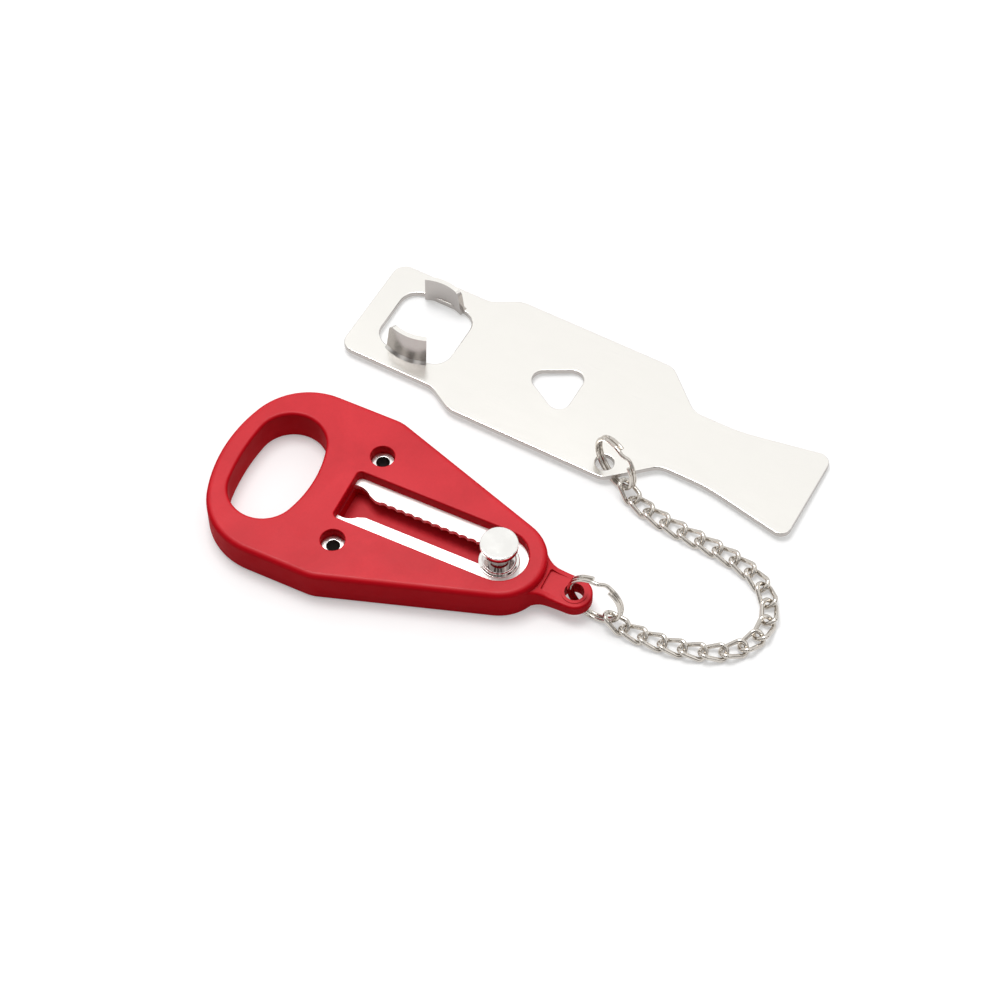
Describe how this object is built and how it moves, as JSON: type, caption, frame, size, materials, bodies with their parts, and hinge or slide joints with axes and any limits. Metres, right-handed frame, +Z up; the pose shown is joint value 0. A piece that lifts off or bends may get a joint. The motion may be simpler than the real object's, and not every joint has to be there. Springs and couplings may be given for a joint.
{
  "type": "portable door lock",
  "caption": "Travel door lock: red two-shell handle with a sliding stud on a toothed plate, chained to a steel strike plate with two bent claws.",
  "frame": {"origin": "on the table under the stud's axis, at the rounded end of the slot", "axes": "+X along the handle towards its split ring, +Y towards the strike plate, +Z up out of the front shell"},
  "size_m": [0.1995, 0.1436, 0.0211],
  "materials": {
    "red_shell": "fine satin moulded red plastic",
    "inner_steel": "bright stamped sheet",
    "rivet_steel": "plated rolled edge",
    "stud_steel": "turned and polished",
    "spring_steel": "plain spring steel",
    "ring_steel": "nickel-plated round wire",
    "chain_steel": "nickel-plated twisted wire",
    "plate_steel": "polished stamped sheet"
  },
  "bodies": {
    "handle": {"front_shell": "red_shell", "back_shell": "red_shell", "rack_plate": "inner_steel", "rivets": "rivet_steel"},
    "stud": {"stud": "stud_steel", "stud_collar": "stud_steel", "spring_washer": "spring_steel", "retaining_clip": "spring_steel"},
    "handle_ring": {"split_ring_handle": "ring_steel"},
    "link_01": {"link_01": "chain_steel"},
    "link_02": {"link_02": "chain_steel"},
    "link_03": {"link_03": "chain_steel"},
    "link_04": {"link_04": "chain_steel"},
    "link_05": {"link_05": "chain_steel"},
    "link_06": {"link_06": "chain_steel"},
    "link_07": {"link_07": "chain_steel"},
    "link_08": {"link_08": "chain_steel"},
    "link_09": {"link_09": "chain_steel"},
    "link_10": {"link_10": "chain_steel"},
    "link_11": {"link_11": "chain_steel"},
    "link_12": {"link_12": "chain_steel"},
    "link_13": {"link_13": "chain_steel"},
    "link_14": {"link_14": "chain_steel"},
    "link_15": {"link_15": "chain_steel"},
    "link_16": {"link_16": "chain_steel"},
    "link_17": {"link_17": "chain_steel"},
    "link_18": {"link_18": "chain_steel"},
    "link_19": {"link_19": "chain_steel"},
    "link_20": {"link_20": "chain_steel"},
    "plate_ring": {"split_ring_plate": "ring_steel"},
    "strike": {"strike_plate": "plate_steel"}
  },
  "joints": [
    {"name": "stud_slide", "type": "slide", "parent": "handle", "child": "stud", "axis": [-1, 0, 0], "range_m": [0, 0.0508]},
    {"name": "handle_ring_swivel", "type": "hinge", "parent": "handle", "child": "handle_ring", "pos_m": [0.0281, 0, 0.00625], "axis": [0, 0, 1], "range_deg": [-20, 6]},
    {"name": "link_01_swing", "type": "hinge", "parent": "handle_ring", "child": "link_01", "pos_m": [0.042, -0.00146, 0.00284], "axis": [0, 0, -1], "range_deg": [-5, 8]},
    {"name": "link_02_swing", "type": "hinge", "parent": "link_01", "child": "link_02", "pos_m": [0.04763, -0.00205, 0.00194], "axis": [0, 0, 1], "range_deg": [-20, 5]},
    {"name": "link_03_swing", "type": "hinge", "parent": "link_02", "child": "link_03", "pos_m": [0.05462, -0.00229, 0.00194], "axis": [0, 0, -1], "range_deg": [-5, 20]},
    {"name": "link_04_swing", "type": "hinge", "parent": "link_03", "child": "link_04", "pos_m": [0.06161, -0.00193, 0.00194], "axis": [0, 0, 1], "range_deg": [-20, 5]},
    {"name": "link_05_swing", "type": "hinge", "parent": "link_04", "child": "link_05", "pos_m": [0.06854, -0.00095, 0.00194], "axis": [0, 0, -1], "range_deg": [-5, 20]},
    {"name": "link_06_swing", "type": "hinge", "parent": "link_05", "child": "link_06", "pos_m": [0.0753, 0.00086, 0.00194], "axis": [0, 0, 1], "range_deg": [-20, 5]},
    {"name": "link_07_swing", "type": "hinge", "parent": "link_06", "child": "link_07", "pos_m": [0.08165, 0.00382, 0.00194], "axis": [0, 0, -1], "range_deg": [-5, 20]},
    {"name": "link_08_swing", "type": "hinge", "parent": "link_07", "child": "link_08", "pos_m": [0.08693, 0.00841, 0.00194], "axis": [0, 0, 1], "range_deg": [-20, 5]},
    {"name": "link_09_swing", "type": "hinge", "parent": "link_08", "child": "link_09", "pos_m": [0.09011, 0.01465, 0.00194], "axis": [0, 0, -1], "range_deg": [-5, 20]},
    {"name": "link_10_swing", "type": "hinge", "parent": "link_09", "child": "link_10", "pos_m": [0.0906, 0.02163, 0.00194], "axis": [0, 0, 1], "range_deg": [-20, 5]},
    {"name": "link_11_swing", "type": "hinge", "parent": "link_10", "child": "link_11", "pos_m": [0.08821, 0.02821, 0.00194], "axis": [0, 0, -1], "range_deg": [-5, 20]},
    {"name": "link_12_swing", "type": "hinge", "parent": "link_11", "child": "link_12", "pos_m": [0.08361, 0.03349, 0.00194], "axis": [0, 0, 1], "range_deg": [-20, 5]},
    {"name": "link_13_swing", "type": "hinge", "parent": "link_12", "child": "link_13", "pos_m": [0.07755, 0.03699, 0.00194], "axis": [0, 0, -1], "range_deg": [-5, 20]},
    {"name": "link_14_swing", "type": "hinge", "parent": "link_13", "child": "link_14", "pos_m": [0.07086, 0.03904, 0.00194], "axis": [0, 0, 1], "range_deg": [-20, 5]},
    {"name": "link_15_swing", "type": "hinge", "parent": "link_14", "child": "link_15", "pos_m": [0.06396, 0.04025, 0.00194], "axis": [0, 0, -1], "range_deg": [-5, 20]},
    {"name": "link_16_swing", "type": "hinge", "parent": "link_15", "child": "link_16", "pos_m": [0.05701, 0.04111, 0.00194], "axis": [0, 0, 1], "range_deg": [-6, 5]},
    {"name": "link_17_swing", "type": "hinge", "parent": "link_16", "child": "link_17", "pos_m": [0.05005, 0.04184, 0.00194], "axis": [0, 0, -1], "range_deg": [-5, 6]},
    {"name": "link_18_swing", "type": "hinge", "parent": "link_17", "child": "link_18", "pos_m": [0.04312, 0.04281, 0.00194], "axis": [0, 0, 1], "range_deg": [-6, 5]},
    {"name": "link_19_swing", "type": "hinge", "parent": "link_18", "child": "link_19", "pos_m": [0.0363, 0.04439, 0.00194], "axis": [0, 0, -1], "range_deg": [-5, 6]},
    {"name": "link_20_swing", "type": "hinge", "parent": "link_19", "child": "link_20", "pos_m": [0.02972, 0.04678, 0.00194], "axis": [0, 0, 1], "range_deg": [-6, 5]},
    {"name": "plate_ring_swing", "type": "hinge", "parent": "link_20", "child": "plate_ring", "pos_m": [0.02486, 0.04968, 0.00282], "axis": [0, 0, -1], "range_deg": [-4, 6]},
    {"name": "strike_swivel", "type": "hinge", "parent": "plate_ring", "child": "strike", "pos_m": [0.01451, 0.05543, 0.00305], "axis": [0, 0, 1], "range_deg": [-6, 6]}
  ]
}
